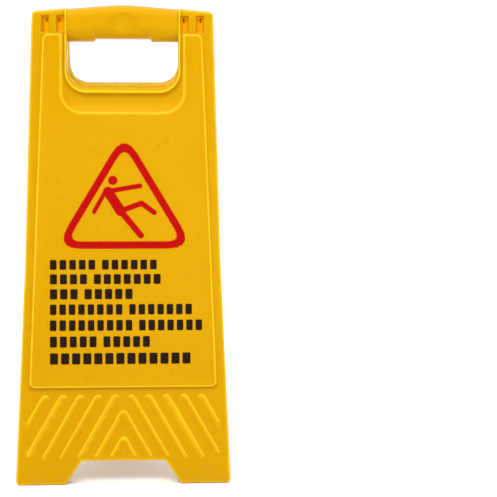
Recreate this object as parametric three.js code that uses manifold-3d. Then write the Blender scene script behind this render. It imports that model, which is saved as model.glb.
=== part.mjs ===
// Folding wet floor sign: two identical moulded panels hinged at their top corners,
// each with a grip bar over a hand opening, a raised printed field and a ribbed apron.
// Millimetres, +Z up, origin on the floor under the middle of the open sign.
// The front panel faces -Y. A panel is drawn upright first, with x across, h up from
// its sole along the face, and t outward from the plane where the closed panels meet.

import * as THREE from 'three';
import { mergeVertices } from 'three/addons/utils/BufferGeometryUtils.js';
import Module from 'manifold-3d';

const wasm = await Module();
wasm.setup();

// Driving dimensions
const PANEL_LENGTH = 620;
const FOOT_HALF_WIDTH = 137.5;
const WAIST_HALF_WIDTH = 125.4;
const WAIST_HEIGHT = 290;
const TOP_HALF_WIDTH = 117.2;
const GABLE_SLOPE = 0.088;
const FACE_DEPTH = 17;
const WALL = 2.5;
const EDGE_BEVEL = 1.5;
const MEETING_GAP = 0.25;
const OPEN_HALF_ANGLE = THREE.MathUtils.degToRad(13);

const NOTCH_HEIGHT = 30;
const NOTCH_TOP_HALF = 53.5;
const NOTCH_FOOT_HALF = 73.5;

const FIELD_BOTTOM = 123.5;
const FIELD_BOTTOM_HALF = 119.8;
const FIELD_TOP_HALF = 103;
const FIELD_RAISE = 3;
const ARM_TOP = 579.3;
const ARM_INNER_HALF = 79.5;
const DISH_BOTTOM = 476;
const DISH_RADIUS = 26;

const OPENING_HALF = 71.5;
const OPENING_BOTTOM = 512.6;
const OPENING_RADIUS = 25;
const LIP_WIDTH = 3;
const LIP_DROP = 10;
const LIP_RAISE = 3;

const GRIP_HALF = 74;
const GRIP_UNDERSIDE = 572;
const GRIP_DEPTH = 20;
const GRIP_TOP_FULLNESS = 3.6;
const GRIP_UNDERSIDE_FULLNESS = 2.4;
const FINGER_RELIEF = 3.5;
const FINGER_RELIEF_HALF = 37;
const THUMB_HALF_WIDTH = 19.5;
const THUMB_HALF_HEIGHT = 13;
const THUMB_HEIGHT = 593.3;
const THUMB_DEPTH = 3;

const HINGE_HEIGHT = 599;
const KNUCKLE_X = 90;
const EAR_THICKNESS = 3;
const NARROW_EAR_OFFSET = 7.7;
const WIDE_EAR_OFFSET = 11.1;
const EAR_RADIUS = 6.5;
const POCKET_INNER = 5;
const POCKET_OUTER = 15;
const POCKET_BOTTOM = 582;
const POCKET_TOP = 603.5;
const POCKET_FLOOR = 10;
const POCKET_WALL = 1.8;
const SLOT_HALF_WIDTH = 0.8;
const SLOT_HALF_HEIGHT = 3;
const PIN_RADIUS = 2.1;
const PIN_HOLE_RADIUS = 2.4;

const RIB_RAISE = 1.3;
const RIB_HALF_WIDTH = 4.8;
const RIB_PITCH = 22.4;
const RIB_TOP = 109;
const RIB_ZONE_BOTTOM = 36.5;
const RIB_ZONE_HALF = 121.5;
const RIB_RUN = 1 / Math.tan(THREE.MathUtils.degToRad(60));
const RIBS_PER_SIDE = 5;
const CHEVRON_TOPS = [89, 55];

const PRINT_THICKNESS = 0.2;
const PRINT_GAP = 0.05;
const TRIANGLE_MIDDLE = 2;
const TRIANGLE_TOP = 452;
const TRIANGLE_BASE = 301.5;
const TRIANGLE_HALF = 90;
const TRIANGLE_RADIUS = 20;
const TRIANGLE_STROKE = 9.4;
const TEXT_LEFT = -93.4;
const TEXT_TOP = 287.3;
const TEXT_RIGHT_ENDS = [43, 48, 12, 88, 101, 34, 86];
const TEXT_HEIGHT = 12.4;
const TEXT_HEIGHT_GROWTH = 0.3;
const TEXT_PITCH = 18.4;
const TEXT_PITCH_GROWTH = 0.6;

const ARC_STEPS = 5;
const SLANT = Math.tan(OPEN_HALF_ANGLE);

// Height of the hinge axis above the floor when the sign stands open
const HINGE_Z = HINGE_HEIGHT * Math.cos(OPEN_HALF_ANGLE) - FACE_DEPTH * Math.sin(OPEN_HALF_ANGLE);

// ---- outlines -------------------------------------------------------------

// Corners are [x, h, radius], counterclockwise. Moves every side inward by d.
function insetCorners(corners, d) {
  const count = corners.length;
  const sides = corners.map(([x, h], i) => {
    const [nx, nh] = corners[(i + 1) % count];
    const length = Math.hypot(nx - x, nh - h);
    const dx = (nx - x) / length;
    const dh = (nh - h) / length;
    return { x: x - dh * d, h: h + dx * d, dx, dh };
  });
  return corners.map(([, , radius], i) => {
    const a = sides[(i + count - 1) % count];
    const b = sides[i];
    const turn = a.dx * b.dh - a.dh * b.dx;
    const along = ((b.x - a.x) * b.dh - (b.h - a.h) * b.dx) / turn;
    const newRadius = turn > 0 ? Math.max(radius - d, 0.3) : radius + d;
    return [a.x + a.dx * along, a.h + a.dh * along, newRadius];
  });
}

// A closed outline with every corner rounded by an arc that touches both sides
function roundedShape(corners) {
  const shape = new THREE.Shape();
  const count = corners.length;
  corners.forEach(([x, h, radius], i) => {
    const [px, ph] = corners[(i + count - 1) % count];
    const [nx, nh] = corners[(i + 1) % count];
    const toPrevious = new THREE.Vector2(px - x, ph - h).normalize();
    const toNext = new THREE.Vector2(nx - x, nh - h).normalize();
    const halfTurn = toPrevious.angleTo(toNext) / 2;
    const reach = radius / Math.tan(halfTurn);
    const start = toPrevious.multiplyScalar(reach);
    const end = toNext.multiplyScalar(reach);
    if (i === 0) {
      shape.moveTo(x + start.x, h + start.y);
    } else {
      shape.lineTo(x + start.x, h + start.y);
    }
    shape.quadraticCurveTo(x, h, x + end.x, h + end.y);
  });
  shape.closePath();
  return shape;
}

// The right-hand corners, bottom to top, followed by their mirror images
function mirrored(rightSide) {
  const leftSide = rightSide.map(([x, h, radius]) => [-x, h, radius]).reverse();
  return [...rightSide, ...leftSide];
}

function panelCorners() {
  const shoulder = PANEL_LENGTH - GABLE_SLOPE * TOP_HALF_WIDTH;
  const peakRun = 20;
  return mirrored([
    [NOTCH_TOP_HALF, NOTCH_HEIGHT, 6],
    [NOTCH_FOOT_HALF, 0, 4],
    [FOOT_HALF_WIDTH, 0, 5],
    [WAIST_HALF_WIDTH, WAIST_HEIGHT, 400],
    [TOP_HALF_WIDTH, shoulder, 5],
    [peakRun, PANEL_LENGTH - GABLE_SLOPE * peakRun, 60],
  ]);
}

// A U: the print area below the dish, and an arm up each side of it
function fieldCorners() {
  return mirrored([
    [FIELD_BOTTOM_HALF, FIELD_BOTTOM, 7],
    [FIELD_TOP_HALF, ARM_TOP, 7],
    [ARM_INNER_HALF + 2, ARM_TOP, 5],
    [ARM_INNER_HALF, DISH_BOTTOM + DISH_RADIUS, 30],
    [ARM_INNER_HALF - DISH_RADIUS, DISH_BOTTOM, 30],
  ]);
}

function openingCorners() {
  return mirrored([
    [OPENING_HALF, OPENING_BOTTOM, OPENING_RADIUS],
    [OPENING_HALF, GRIP_UNDERSIDE + 12, 1],
  ]);
}

function lipCorners() {
  return mirrored([
    [OPENING_HALF + LIP_WIDTH, OPENING_BOTTOM - LIP_DROP, OPENING_RADIUS + 3],
    [OPENING_HALF + LIP_WIDTH, GRIP_UNDERSIDE + 4, 3],
  ]);
}

function box(x0, x1, h0, h1) {
  return [
    [x0, h0],
    [x1, h0],
    [x1, h1],
    [x0, h1],
  ];
}

function sharpShape(points) {
  return new THREE.Shape(points.map(([x, h]) => new THREE.Vector2(x, h)));
}

// ---- solids ---------------------------------------------------------------

function toSolid(geometry) {
  const bare = geometry.index ? geometry.toNonIndexed() : geometry;
  bare.deleteAttribute('normal');
  bare.deleteAttribute('uv');
  const merged = mergeVertices(bare, 1e-4);
  return new wasm.Manifold(
    new wasm.Mesh({
      numProp: 3,
      vertProperties: new Float32Array(merged.attributes.position.array),
      triVerts: new Uint32Array(merged.index.array),
    }),
  );
}

function toGeometry(solid) {
  const mesh = solid.getMesh();
  const geometry = new THREE.BufferGeometry();
  const positions = new THREE.BufferAttribute(mesh.vertProperties, 3);
  geometry.setAttribute('position', positions);
  geometry.setIndex(new THREE.BufferAttribute(mesh.triVerts, 1));
  geometry.computeVertexNormals();
  return geometry;
}

// A flat outline in x and h, thick from t = tLow to t = tHigh
function slabGeometry(shape, tLow, tHigh, bevel = 0) {
  const geometry = new THREE.ExtrudeGeometry(shape, {
    depth: tHigh - tLow - 2 * bevel,
    bevelEnabled: bevel > 0,
    bevelThickness: bevel,
    bevelSize: bevel,
    bevelOffset: -bevel,
    bevelSegments: 2,
    curveSegments: ARC_STEPS,
  });
  geometry.translate(0, 0, tLow + bevel);
  geometry.rotateX(Math.PI / 2);
  return geometry;
}

function slab(shape, tLow, tHigh, bevel = 0) {
  return toSolid(slabGeometry(shape, tLow, tHigh, bevel));
}

// A side profile in t and h, thick from x = xLow to x = xHigh
function profileGeometry(shape, xLow, xHigh, steps = 1) {
  const geometry = new THREE.ExtrudeGeometry(shape, {
    depth: xHigh - xLow,
    steps,
    bevelEnabled: false,
    curveSegments: 14,
  });
  const position = geometry.attributes.position;
  for (let i = 0; i < position.count; i += 1) {
    const t = position.getX(i);
    const h = position.getY(i);
    const x = xHigh - position.getZ(i);
    position.setXYZ(i, x, -t, h);
  }
  return geometry;
}

function profile(shape, xLow, xHigh) {
  return toSolid(profileGeometry(shape, xLow, xHigh));
}

// ---- grip bar -------------------------------------------------------------

function topHeight(x) {
  return PANEL_LENGTH - GABLE_SLOPE * Math.max(Math.abs(x), 6);
}

// The underside rises over the fingers, with a short slope at each end
function undersideHeight(x) {
  const slopeRun = 4;
  const rise = (FINGER_RELIEF_HALF - Math.abs(x)) / slopeRun;
  return GRIP_UNDERSIDE + FINGER_RELIEF * THREE.MathUtils.clamp(rise, 0, 1);
}

function thumbDip(x, h) {
  const across = x / THUMB_HALF_WIDTH;
  const upward = (h - THUMB_HEIGHT) / THUMB_HALF_HEIGHT;
  const reach = 1 - across * across - upward * upward;
  return THUMB_DEPTH * Math.sqrt(Math.max(reach, 0));
}

// The bar's bulge in t and h, from the underside over the front to the top. A fullness of
// 2 is an ellipse; more makes the shoulder squarer. The top is squarer than the underside.
function gripSection(inset, steps) {
  const middle = (PANEL_LENGTH + GRIP_UNDERSIDE) / 2;
  const halfHeight = (PANEL_LENGTH - GRIP_UNDERSIDE) / 2 - inset;
  const depth = GRIP_DEPTH - inset;
  const points = [];
  for (let k = 0; k <= steps; k += 1) {
    const angle = Math.PI * (k / steps - 0.5);
    const fullness = angle > 0 ? GRIP_TOP_FULLNESS : GRIP_UNDERSIDE_FULLNESS;
    const t = depth * Math.max(Math.cos(angle), 0) ** (2 / fullness);
    const rise = halfHeight * Math.abs(Math.sin(angle)) ** (2 / fullness);
    points.push(new THREE.Vector2(t, middle + Math.sign(angle) * rise));
  }
  return points;
}

// Fits a straight extruded bar to the sloping top edge, the finger relief and the dimple
function shapeGrip(geometry) {
  const position = geometry.attributes.position;
  const rawHeight = PANEL_LENGTH - GRIP_UNDERSIDE;
  for (let i = 0; i < position.count; i += 1) {
    const x = position.getX(i);
    const t = -position.getY(i);
    const fraction = (position.getZ(i) - GRIP_UNDERSIDE) / rawHeight;
    const h = THREE.MathUtils.lerp(undersideHeight(x), topHeight(x), fraction);
    position.setXYZ(i, x, -(t - thumbDip(x, h)), h);
  }
  return geometry;
}

function gripShell() {
  const outline = new THREE.Shape(gripSection(0, 18));
  const hollow = gripSection(WALL, 14).reverse();
  hollow.forEach((point) => outline.lineTo(point.x, point.y));
  outline.closePath();
  return toSolid(shapeGrip(profileGeometry(outline, -GRIP_HALF, GRIP_HALF, 30)));
}

function gripEndWall(side) {
  const outline = new THREE.Shape(gripSection(0, 18));
  const inner = side * (GRIP_HALF - WALL);
  const outer = side * GRIP_HALF;
  const geometry = profileGeometry(outline, Math.min(inner, outer), Math.max(inner, outer));
  return toSolid(shapeGrip(geometry));
}

function grip() {
  return gripShell().add(gripEndWall(-1)).add(gripEndWall(1));
}

// ---- panel ----------------------------------------------------------------

// Everything below the floor when the sign stands open, raised by a clearance
function belowFloor(clearance) {
  const rise = clearance / Math.cos(OPEN_HALF_ANGLE);
  const floorAt = (t) => (FACE_DEPTH - t) * SLANT + rise;
  const tLow = -30;
  const tHigh = 60;
  return profile(
    sharpShape([
      [tLow, -60],
      [tHigh, -60],
      [tHigh, floorAt(tHigh)],
      [tLow, floorAt(tLow)],
    ]),
    -200,
    200,
  );
}

// The space of the other panel: behind the meeting plane up to the hinge, and above it
// behind the sloping plane where the two panels butt together and stop opening
function otherPanelSpace() {
  const over = 40;
  return profile(
    sharpShape([
      [-40, -80],
      [MEETING_GAP, -80],
      [MEETING_GAP, HINGE_HEIGHT],
      [MEETING_GAP + over * SLANT, HINGE_HEIGHT + over],
      [-40, HINGE_HEIGHT + over],
    ]),
    -200,
    200,
  );
}

function tray() {
  const outer = slab(roundedShape(panelCorners()), -6, FACE_DEPTH, EDGE_BEVEL);
  const insideOutline = roundedShape(insetCorners(panelCorners(), WALL));
  const inside = slab(insideOutline, -10, FACE_DEPTH - WALL);
  return outer.subtract(inside.subtract(belowFloor(WALL))).subtract(belowFloor(0));
}

function raisedField() {
  const top = FACE_DEPTH + FIELD_RAISE;
  return slab(roundedShape(fieldCorners()), FACE_DEPTH - WALL - EDGE_BEVEL, top, EDGE_BEVEL);
}

function fieldHollow() {
  const outline = roundedShape(insetCorners(fieldCorners(), WALL));
  return slab(outline, FACE_DEPTH - WALL - 10, FACE_DEPTH + FIELD_RAISE - WALL);
}

function openingWall() {
  const outline = roundedShape(insetCorners(openingCorners(), -WALL));
  return slab(outline, -1, FACE_DEPTH);
}

function lip() {
  return slab(roundedShape(lipCorners()), FACE_DEPTH - WALL, FACE_DEPTH + LIP_RAISE, 1);
}

function openingHole() {
  return slab(roundedShape(openingCorners()), -20, FACE_DEPTH + 20);
}

// Clears the flat face where the rounded grip bar takes its place
function gripRoom() {
  const room = box(-GRIP_HALF + 0.5, GRIP_HALF - 0.5, GRIP_UNDERSIDE - 1, PANEL_LENGTH + 10);
  return slab(sharpShape(room), -20, FACE_DEPTH + 20);
}

// The front of each hinge ear stands in its own pocket, one each side of a knuckle
function pocketAreas(margin) {
  return [-1, 1].flatMap((side) =>
    [-1, 1].map((half) => {
      const a = side * KNUCKLE_X + half * POCKET_INNER;
      const b = side * KNUCKLE_X + half * POCKET_OUTER;
      return sharpShape(
        box(Math.min(a, b) - margin, Math.max(a, b) + margin, POCKET_BOTTOM - margin, POCKET_TOP + margin),
      );
    }),
  );
}

function pocketWalls() {
  const back = POCKET_FLOOR - WALL;
  const front = FACE_DEPTH - WALL / 2;
  return wasm.Manifold.union(pocketAreas(POCKET_WALL).map((area) => slab(area, back, front)));
}

function pocketHollows() {
  return wasm.Manifold.union(pocketAreas(0).map((area) => slab(area, POCKET_FLOOR, FACE_DEPTH + 10)));
}

// A hinge ear seen from the side, in t and h, with a round end about the hinge axis
function earOutline() {
  const insideFace = FACE_DEPTH - 1;
  const insideField = FACE_DEPTH + 1.5;
  const insideFloor = POCKET_FLOOR - 1;
  const gussetFoot = POCKET_BOTTOM - 20;
  const outline = new THREE.Shape();
  outline.moveTo(3, HINGE_HEIGHT - 14);
  outline.lineTo(insideFace, gussetFoot);
  outline.lineTo(insideField, gussetFoot);
  outline.lineTo(insideField, ARM_TOP - 2);
  outline.lineTo(insideFace, ARM_TOP);
  outline.lineTo(insideFace, POCKET_BOTTOM - 0.6);
  outline.lineTo(insideFloor, POCKET_BOTTOM);
  outline.lineTo(insideFloor, POCKET_TOP);
  outline.lineTo(insideFace, POCKET_TOP + 0.6);
  outline.lineTo(insideFace, HINGE_HEIGHT + 10.5);
  outline.lineTo(5, HINGE_HEIGHT + 10.5);
  outline.absarc(0, HINGE_HEIGHT, EAR_RADIUS, 0.35 * Math.PI, 1.25 * Math.PI, false);
  outline.closePath();
  const hole = new THREE.Path();
  hole.absarc(0, HINGE_HEIGHT, PIN_HOLE_RADIUS, 0, 2 * Math.PI, true);
  outline.holes.push(hole);
  return outline;
}

// Narrow pair on the left, wide pair on the right: turned round, one fits in the other
function earCentres() {
  return [
    -KNUCKLE_X - NARROW_EAR_OFFSET,
    -KNUCKLE_X + NARROW_EAR_OFFSET,
    KNUCKLE_X - WIDE_EAR_OFFSET,
    KNUCKLE_X + WIDE_EAR_OFFSET,
  ];
}

function ears() {
  const half = EAR_THICKNESS / 2;
  return wasm.Manifold.union(earCentres().map((x) => profile(earOutline(), x - half, x + half)));
}

// A blind slot in the floor of each pocket, level with the hinge axis
function earSlots() {
  const low = HINGE_HEIGHT - SLOT_HALF_HEIGHT;
  const high = HINGE_HEIGHT + SLOT_HALF_HEIGHT;
  const slots = earCentres().map((x) =>
    slab(sharpShape(box(x - SLOT_HALF_WIDTH, x + SLOT_HALF_WIDTH, low, high)), 6, POCKET_FLOOR + 2),
  );
  return wasm.Manifold.union(slots);
}

// A bar with a round top end, from (x, h) down and outward to the bottom of the rib zone
function ribShape(x, h, outward) {
  const length = (h - RIB_ZONE_BOTTOM + 30) * Math.hypot(1, RIB_RUN);
  const shape = new THREE.Shape();
  shape.moveTo(RIB_HALF_WIDTH, 0);
  shape.absarc(0, 0, RIB_HALF_WIDTH, 0, Math.PI, false);
  shape.lineTo(-RIB_HALF_WIDTH, -length);
  shape.lineTo(RIB_HALF_WIDTH, -length);
  shape.closePath();
  const lean = outward * Math.atan(RIB_RUN);
  const turned = shape.getPoints(ARC_STEPS).map((point) => {
    return point.rotateAround(new THREE.Vector2(), lean).add(new THREE.Vector2(x, h));
  });
  return new THREE.Shape(turned);
}

function ribs() {
  const tLow = FACE_DEPTH - WALL / 2;
  const tHigh = FACE_DEPTH + RIB_RAISE;
  const bars = [];
  [-1, 1].forEach((side) => {
    for (let i = 0; i < RIBS_PER_SIDE; i += 1) {
      bars.push(slab(ribShape(side * RIB_PITCH * (i + 0.45), RIB_TOP, side), tLow, tHigh));
    }
    CHEVRON_TOPS.forEach((h) => bars.push(slab(ribShape(0, h, side), tLow, tHigh)));
  });
  const zone = sharpShape(box(-RIB_ZONE_HALF, RIB_ZONE_HALF, RIB_ZONE_BOTTOM, RIB_TOP + 10));
  return wasm.Manifold.union(bars).intersect(slab(zone, 0, 40));
}

function panelSolid() {
  let panel = tray().add(raisedField()).subtract(fieldHollow());
  panel = panel.add(ribs()).add(openingWall()).add(lip());
  panel = panel.subtract(gripRoom()).add(grip()).subtract(openingHoleBelowGrip());
  panel = panel.add(pocketWalls()).subtract(pocketHollows());
  panel = panel.subtract(otherPanelSpace());
  panel = panel.add(ears()).subtract(earSlots());
  return panel;
}

function openingHoleBelowGrip() {
  const gripArea = box(-GRIP_HALF, GRIP_HALF, GRIP_UNDERSIDE, PANEL_LENGTH + 20);
  return openingHole().subtract(slab(sharpShape(gripArea), -40, 60));
}

// ---- hinge pins -----------------------------------------------------------

// A plain pin with a flat head on its outer end and a short swollen tip inside
function pinGeometry() {
  const reach = WIDE_EAR_OFFSET + EAR_THICKNESS / 2 + 0.4;
  const profilePoints = [
    [0, -reach - 1.2],
    [PIN_RADIUS + 0.5, -reach - 1.2],
    [PIN_RADIUS + 0.9, -reach],
    [PIN_RADIUS, -reach],
    [PIN_RADIUS, reach],
    [PIN_RADIUS + 1.6, reach],
    [PIN_RADIUS + 1.6, reach + 1],
    [PIN_RADIUS + 1.1, reach + 1.5],
    [0, reach + 1.5],
  ].map(([radius, along]) => new THREE.Vector2(radius, along));
  return new THREE.LatheGeometry(profilePoints, 20);
}

// ---- printed marks --------------------------------------------------------

const PRINT_BACK = FACE_DEPTH + FIELD_RAISE + PRINT_GAP;
const PRINT_FRONT = PRINT_BACK + PRINT_THICKNESS;

function printSlab(shape) {
  return slab(shape, PRINT_BACK, PRINT_FRONT);
}

function triangleCorners() {
  return [
    [TRIANGLE_MIDDLE - TRIANGLE_HALF, TRIANGLE_BASE, TRIANGLE_RADIUS],
    [TRIANGLE_MIDDLE + TRIANGLE_HALF, TRIANGLE_BASE, TRIANGLE_RADIUS],
    [TRIANGLE_MIDDLE, TRIANGLE_TOP, TRIANGLE_RADIUS],
  ];
}

function triangleRing() {
  const outer = roundedShape(triangleCorners());
  const inner = roundedShape(insetCorners(triangleCorners(), TRIANGLE_STROKE));
  return printSlab(outer).subtract(slab(inner, PRINT_BACK - 1, PRINT_FRONT + 1));
}

// A stroke with round ends
function strokeShape([x0, h0], [x1, h1], radius) {
  const angle = Math.atan2(h1 - h0, x1 - x0);
  const shape = new THREE.Shape();
  shape.absarc(x1, h1, radius, angle - Math.PI / 2, angle + Math.PI / 2, false);
  shape.absarc(x0, h0, radius, angle + Math.PI / 2, angle + 1.5 * Math.PI, false);
  shape.closePath();
  return shape;
}

// A plain stroke figure losing its footing: leaning back, one leg up and one sliding away
function figureBody() {
  const shoulder = [-19, 375];
  const hip = [-3, 350];
  const knee = [24, 360];
  return wasm.Manifold.union([
    printSlab(strokeShape(shoulder, hip, 6.5)),
    printSlab(strokeShape([-22, 376], [-37, 349], 2.8)),
    printSlab(strokeShape([-13, 376.5], [22, 382.5], 3.1)),
    printSlab(strokeShape(hip, knee, 3.5)),
    printSlab(strokeShape(knee, [40, 348], 3.3)),
    printSlab(strokeShape(hip, [23, 318.5], 4)),
  ]);
}

function figureHead() {
  return printSlab(strokeShape([-13, 389.5], [-12.9, 389.5], 6));
}

function lineShape(index) {
  const top = TEXT_TOP - index * (TEXT_PITCH + (TEXT_PITCH_GROWTH * (index - 1)) / 2);
  const height = TEXT_HEIGHT + index * TEXT_HEIGHT_GROWTH;
  const right = TEXT_RIGHT_ENDS[index];
  return roundedShape([
    [TEXT_LEFT, top - height, 2],
    [right, top - height, 2],
    [right, top, 2],
    [TEXT_LEFT, top, 2],
  ]);
}

// ---- assembly -------------------------------------------------------------

function plastic() {
  return new THREE.MeshStandardMaterial({ color: 0xf2b705, roughness: 0.35, metalness: 0 });
}

function redInk() {
  return new THREE.MeshStandardMaterial({ color: 0xd2101a, roughness: 0.45, metalness: 0 });
}

function blackInk() {
  return new THREE.MeshStandardMaterial({ color: 0x1c1410, roughness: 0.5, metalness: 0 });
}

function named(name, geometry, material) {
  const mesh = new THREE.Mesh(geometry, material);
  mesh.name = name;
  return mesh;
}

function printMarks(side) {
  const marks = [
    named(`${side}_warning_triangle`, toGeometry(triangleRing()), redInk()),
    named(`${side}_figure_head`, toGeometry(figureHead()), redInk()),
    named(`${side}_figure_body`, toGeometry(figureBody()), redInk()),
  ];
  TEXT_RIGHT_ENDS.forEach((_, i) => {
    const geometry = toGeometry(printSlab(lineShape(i)));
    marks.push(named(`${side}_message_line_${i + 1}`, geometry, blackInk()));
  });
  return marks;
}

// A panel and its print, hung from the hinge axis and swung out to its open angle
function leaf(side, turn) {
  const upright = new THREE.Group();
  upright.position.z = -HINGE_HEIGHT;
  upright.add(named(`${side}_panel`, toGeometry(panelSolid()), plastic()));
  printMarks(side).forEach((mark) => upright.add(mark));
  const swung = new THREE.Group();
  swung.rotation.x = -OPEN_HALF_ANGLE;
  swung.add(upright);
  const placed = new THREE.Group();
  placed.rotation.z = turn;
  placed.position.z = HINGE_Z;
  placed.add(swung);
  return placed;
}

// The lathe axis is Y; the pin's head points away from the middle of the sign
function hingePin(name, side) {
  const pin = named(name, pinGeometry(), plastic());
  pin.rotation.z = side > 0 ? -Math.PI / 2 : Math.PI / 2;
  pin.position.set(side * KNUCKLE_X, 0, HINGE_Z);
  return pin;
}

const group = new THREE.Group();
group.add(leaf('front', 0));
group.add(leaf('rear', Math.PI));
group.add(hingePin('left_hinge_pin', -1));
group.add(hingePin('right_hinge_pin', 1));

export default group;
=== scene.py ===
"""Folding wet floor sign: fine surface, materials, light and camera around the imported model."""

import math

import bpy
import numpy as np
from mathutils import Matrix, Vector
from mathutils.geometry import delaunay_2d_cdt


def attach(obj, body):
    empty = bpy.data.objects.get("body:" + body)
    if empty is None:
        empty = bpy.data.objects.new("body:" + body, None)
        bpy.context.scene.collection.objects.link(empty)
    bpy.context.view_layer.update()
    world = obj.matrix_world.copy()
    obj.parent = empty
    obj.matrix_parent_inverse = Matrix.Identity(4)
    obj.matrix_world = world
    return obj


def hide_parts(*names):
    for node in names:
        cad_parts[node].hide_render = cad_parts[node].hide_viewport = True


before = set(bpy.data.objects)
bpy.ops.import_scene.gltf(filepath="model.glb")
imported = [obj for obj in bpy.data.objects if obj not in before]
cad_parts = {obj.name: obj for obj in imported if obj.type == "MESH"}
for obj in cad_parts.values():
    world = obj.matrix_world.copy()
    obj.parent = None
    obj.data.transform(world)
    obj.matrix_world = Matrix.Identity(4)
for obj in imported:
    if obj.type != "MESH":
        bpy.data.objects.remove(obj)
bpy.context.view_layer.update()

# ---- sizes in millimetres, as in the CAD. x across, h up the face, t outward ----

LENGTH = 620.0
FOOT_HALF, WAIST_HALF, TOP_HALF = 137.3, 125.4, 117.2
WAIST_H = 290.0
GABLE = 0.088
DEPTH = 17.0
WALL = 2.5
GAP = 0.25
OPEN_ANGLE = math.radians(13)
SLANT = math.tan(OPEN_ANGLE)
HINGE_H = 599.0
HINGE_Z = HINGE_H * math.cos(OPEN_ANGLE) - DEPTH * math.sin(OPEN_ANGLE)

NOTCH_H, NOTCH_TOP, NOTCH_FOOT = 30.0, 53.5, 73.5
FIELD_LOW, FIELD_LOW_HALF = 123.5, 119.8
FIELD_HIGH, FIELD_HIGH_HALF = 579.3, 103.0
FIELD_RAISE, FIELD_ROUND = 3.0, 3.2
DISH_HALF, DISH_LOW, DISH_RADIUS = 79.5, 476.0, 26.0
DISH_DEPTH, DISH_REACH, DISH_EASE = 4.5, 9, 1.15
RIM_RAISE, RIM_BELOW, RIM_WITHIN = 1.5, 10.0, 2.4
FIELD_BEAD, FIELD_BEAD_INSET, FIELD_BEAD_WIDTH = 0.4, 3.4, 2.0
OPENING_HALF, OPENING_LOW, OPENING_RADIUS = 71.5, 512.6, 25.0
LIP_HALF, LIP_LOW, LIP_RADIUS = 74.5, 502.6, 28.0
LIP_RAISE, LIP_CROWN, LIP_FADE_FROM, LIP_FADE_TO = 3.0, 0.2, 598, 610
ROLL_SHARE, ROLL_LEAST, ROLL_MOST = 0.85, 2.5, 8.5

GRIP_END = 72.2
GRIP_LOW = 572.0
GRIP_DEPTH = 20.0
GRIP_TOP_FULLNESS, GRIP_LOW_FULLNESS = 3.6, 2.4
RELIEF, RELIEF_HALF = 3.5, 37.0
THUMB_X, THUMB_Z, THUMB_H, THUMB_DEEP = 19.5, 13.0, 593.3, 3.0

KNUCKLE_X, EAR_THICK, NARROW, WIDE, EAR_RADIUS = 90.0, 3.0, 7.7, 11.1, 6.5
PIN_HOLE = 2.4
POCKET_NEAR, POCKET_FAR, POCKET_LOW, POCKET_HIGH = 5.0, 15.0, 582.0, 603.5
POCKET_FLOOR, POCKET_BACK, POCKET_SKIN = 10.0, 7.5, 0.8
SLOT_HALF, SLOT_HALF_HEIGHT = 0.8, 3.0
POCKET_ROUND, POCKET_CORNER = 0.9, 0.8
# Down a pocket's walls: share of the far wall's lean, how far all the walls close in, and t.
POCKET_STEPS = ((0.25, 0.1, 14.6), (0.6, 0.2, 12.4), (0.85, 0.35, 10.9), (0.95, 0.6, 10.3))
FLOOR_INSET = 1.0
# How far a pocket's far wall leans in. The outer pockets lean most, but stay clear of the ear.
OUTER_LEAN, INNER_LEAN, EAR_CLEARANCE = 0.5, 0.3, 3.4
SIDE_ROUND, TOP_ROUND = 2.6, 6.0
TOP_ROUND_FROM, TOP_ROUND_FULL = 585, 604

RIB_RAISE, RIB_HALF, RIB_PITCH, RIB_TOP = 1.9, 4.8, 22.4, 109.0
RIB_ZONE_LOW, RIB_ZONE_HALF = 36.5, 121.5
RIB_RUN = 1 / math.tan(math.radians(60))
CHEVRON_TOPS = (89.0, 55.0)

MESSAGE_LEFT, MESSAGE_TOP = -93.4, 287.3
MESSAGE_HEIGHT, HEIGHT_GROWTH, MESSAGE_PITCH, PITCH_GROWTH = 12.4, 0.3, 18.4, 0.6
MESSAGE_RIGHT = (43, 48, 12, 88, 101, 34, 86)
MESSAGE_WORDS = ((5, 6), (4, 7), (3, 5), (8, 7), (9, 7), (5, 5), (13,))
MARK_GAP, WORD_GAP = 3.8, 5.0
INK_BACK, INK_FRONT = 20.06, 20.24

# How far apart the mesh's points are along an edge, and in the even filling between edges.
LOOP_SPACING, GRID_STEP = 2.2, 4.2


# ---- outlines and distances -------------------------------------------------


def rounded_loop(corners, spacing, inset=0):
    """Points round a polygon whose corners (x, h, radius) are true arcs, about spacing apart.

    With an inset, the same number of points go round the shape that much smaller.
    """
    count = len(corners)
    arcs, ends = [], []
    for i, (x, h, radius) in enumerate(corners):
        here = Vector((x, h))
        back = (Vector(corners[i - 1][:2]) - here).normalized()
        ahead = (Vector(corners[(i + 1) % count][:2]) - here).normalized()
        half_turn = back.angle(ahead) / 2
        middle = (back + ahead).normalized() / math.sin(half_turn)
        reach = radius / math.tan(half_turn)
        start, end = back * reach - middle * radius, ahead * reach - middle * radius
        sweep = math.atan2(start.x * end.y - start.y * end.x, start.dot(end))
        steps = max(int(abs(sweep) * radius / spacing), int(abs(sweep) / 0.2), 2)
        bulge = math.copysign(inset, sweep)
        bend = max(radius - bulge, 0.3)
        centre = here + middle * (bulge + bend)
        spoke = start * (bend / radius)
        arcs.append([centre + Matrix.Rotation(sweep * k / steps, 2) @ spoke for k in range(steps + 1)])
        ends.append((here + back * reach, here + ahead * reach))
    points = []
    for i, arc in enumerate(arcs):
        points += arc
        nearer, farther = arc[-1], arcs[(i + 1) % count][0]
        gaps = int((ends[(i + 1) % count][0] - ends[i][1]).length / spacing)
        points += [nearer.lerp(farther, k / gaps) for k in range(1, gaps)] if gaps > 1 else []
    return np.round([(p.x, p.y) for p in points], 3)


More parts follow.
